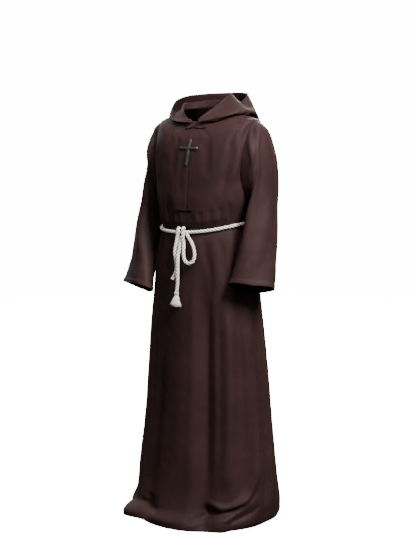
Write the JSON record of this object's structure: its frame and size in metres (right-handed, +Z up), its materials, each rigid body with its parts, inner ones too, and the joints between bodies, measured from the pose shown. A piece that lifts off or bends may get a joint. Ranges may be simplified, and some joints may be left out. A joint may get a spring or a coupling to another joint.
{
  "type": "monk robe",
  "caption": "Ankle-length hooded monk robe in its worn, hollow form, with wide sleeves, a laid-back hood, a breast cross and a knotted rope belt.",
  "frame": {"origin": "between the shoulders, at the height where they carry the robe", "axes": "+Z up, -Y to the robe's front, +X to the wearer's left"},
  "size_m": [0.6737, 0.5455, 1.5953],
  "materials": {
    "cloth": "dark brown woven cloth with a soft satin sheen",
    "cross_trim": "dark grey satin trim, ridged along its middle",
    "black_cord": "black braided cord",
    "rope": "cream twisted cotton rope"
  },
  "bodies": {
    "root": {"front": "cloth", "back": "cloth", "sleeve_left": "cloth", "sleeve_right": "cloth", "hood_left": "cloth", "hood_right": "cloth", "cross": "cross_trim", "frog_right": "black_cord", "frog_left": "black_cord", "frog_knot": "black_cord", "bar_lower": "black_cord", "belt": "rope", "knot_wrap_right": "rope", "knot_wrap_left": "rope", "bow_loop": "rope", "tail_short": "rope", "tail_long": "rope", "fray_short": "rope", "tassel": "rope"}
  },
  "joints": []
}
